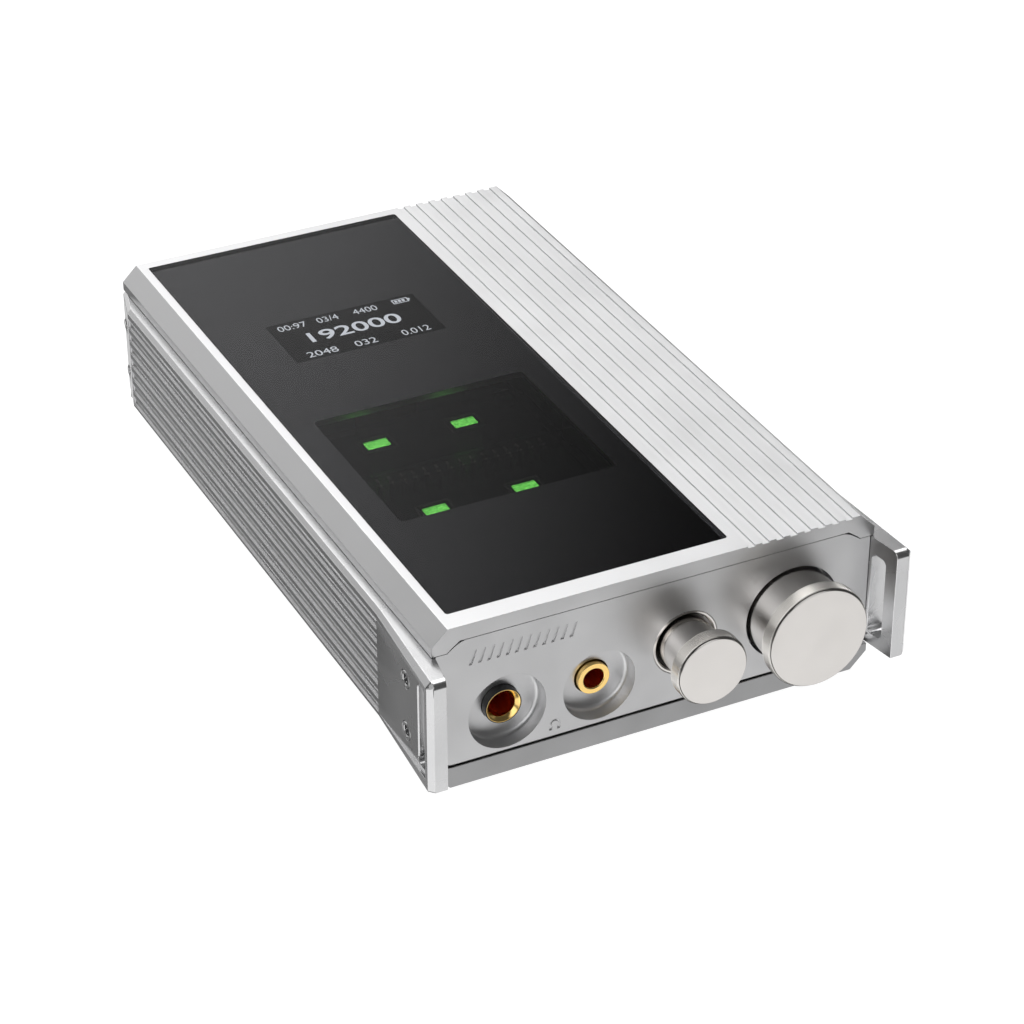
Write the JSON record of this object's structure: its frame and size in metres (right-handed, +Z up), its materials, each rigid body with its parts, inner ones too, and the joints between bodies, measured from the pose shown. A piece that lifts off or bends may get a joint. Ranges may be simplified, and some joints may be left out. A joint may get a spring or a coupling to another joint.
{
  "type": "desktop dac",
  "caption": "Flat metal digital-to-analogue converter and headphone amplifier with a glass window, ribbed sides, knob guards, knurled knobs and jacks.",
  "frame": {"origin": "centre of the whole object's bounding box in plan, on the surface that the feet stand on", "axes": "+Z up, -Y towards the front panel and the user, +X to the user's right"},
  "size_m": [0.0874, 0.1438, 0.0312],
  "materials": {
    "anodised_silver": "fine bead-blasted anodising, silver",
    "anodised_grey": "fine bead-blasted anodising, silver grey",
    "knob_metal": "fine turned and nickel-toned",
    "knurled_metal": "fine knurl, nickel-toned",
    "screw_steel": "plain steel",
    "dark_steel": "blackened steel",
    "shaft_steel": "ground steel",
    "foot_rubber": "matt black rubber",
    "window_glass": "polished smoked glass",
    "mask_film": "black printed film",
    "display_face": "dark display face with white symbols",
    "black_plastic": "moulded black plastic",
    "tube_glass": "clear glass",
    "lead_wire": "gold-plated wire",
    "lit_anode": "green phosphor, lit",
    "grid_wire": "fine grey wire frame",
    "circuit_board": "dark green solder mask",
    "brass_post": "turned brass",
    "chip_epoxy": "black moulded epoxy",
    "tin_plate": "tinned steel",
    "capacitor_sleeve": "dark blue shrink sleeve",
    "flex_film": "amber film",
    "battery_pouch": "laminated foil pouch",
    "foam_pad": "grey foam",
    "gold_contact": "polished gold plating",
    "red_plastic": "dark red plastic",
    "encoder_case": "dark metal case",
    "white_plastic": "white plastic"
  },
  "bodies": {
    "chassis": {"upper_cover": "anodised_silver", "bottom_tray": "anodised_silver", "front_panel": "anodised_silver", "rear_panel": "anodised_silver", "left_side_plate": "anodised_grey", "right_side_plate": "anodised_grey", "side_screws": "screw_steel", "bottom_screws": "dark_steel", "rubber_feet": "foot_rubber", "cover_glass": "window_glass", "glass_mask": "mask_film", "display_panel": "display_face", "display_bracket": "black_plastic", "front_tube": "tube_glass", "rear_tube": "tube_glass", "front_tube_leads": "lead_wire", "rear_tube_leads": "lead_wire", "tube_anodes": "lit_anode", "tube_grids": "grid_wire", "tube_dampers": "foot_rubber", "tube_board": "circuit_board", "tube_board_posts": "brass_post", "main_board": "circuit_board", "board_standoffs": "brass_post", "board_screws": "screw_steel", "dac_chips": "chip_epoxy", "processor_shield": "tin_plate", "filter_capacitors": "capacitor_sleeve", "power_inductors": "chip_epoxy", "ribbon_cables": "flex_film", "front_battery_cell": "battery_pouch", "rear_battery_cell": "battery_pouch", "battery_cradle": "black_plastic", "battery_pads": "foam_pad", "control_board": "circuit_board", "headphone_jack_body": "black_plastic", "headphone_jack_liner": "red_plastic", "headphone_jack_sleeve": "gold_contact", "balanced_jack_body": "black_plastic", "balanced_jack_liner": "red_plastic", "balanced_jack_barrel": "black_plastic", "balanced_jack_sleeve": "gold_contact", "usb_c_ports": "tin_plate", "digital_input_jack": "black_plastic", "line_output_jack": "black_plastic", "menu_knob_collar": "knob_metal", "volume_encoder_body": "encoder_case", "volume_encoder_bushing": "shaft_steel", "volume_encoder_nut": "brass_post", "menu_encoder_body": "encoder_case", "menu_switch_dome": "gold_contact"},
    "volume_knob": {"volume_shaft": "shaft_steel", "volume_knob_shell": "knob_metal", "volume_knob_ring": "knurled_metal", "volume_knob_cap": "knob_metal"},
    "menu_switch_slider": {"menu_switch_plunger": "white_plastic"},
    "menu_knob": {"menu_shaft": "shaft_steel", "menu_knob_shell": "knob_metal", "menu_knob_ring": "knurled_metal", "menu_knob_cap": "knob_metal"}
  },
  "joints": [
    {"name": "volume_knob_turn", "type": "hinge", "parent": "chassis", "child": "volume_knob", "pos_m": [0.025, -0.06265, 0.016], "axis": [0, 1, 0], "continuous": true},
    {"name": "menu_knob_press", "type": "slide", "parent": "chassis", "child": "menu_switch_slider", "axis": [0, 1, 0], "range_m": [0, 0.0005], "stiffness_N_per_m": 4000, "springref_m": -0.0002},
    {"name": "menu_knob_turn", "type": "hinge", "parent": "menu_switch_slider", "child": "menu_knob", "pos_m": [0.0051, -0.06265, 0.016], "axis": [0, 1, 0], "continuous": true}
  ]
}
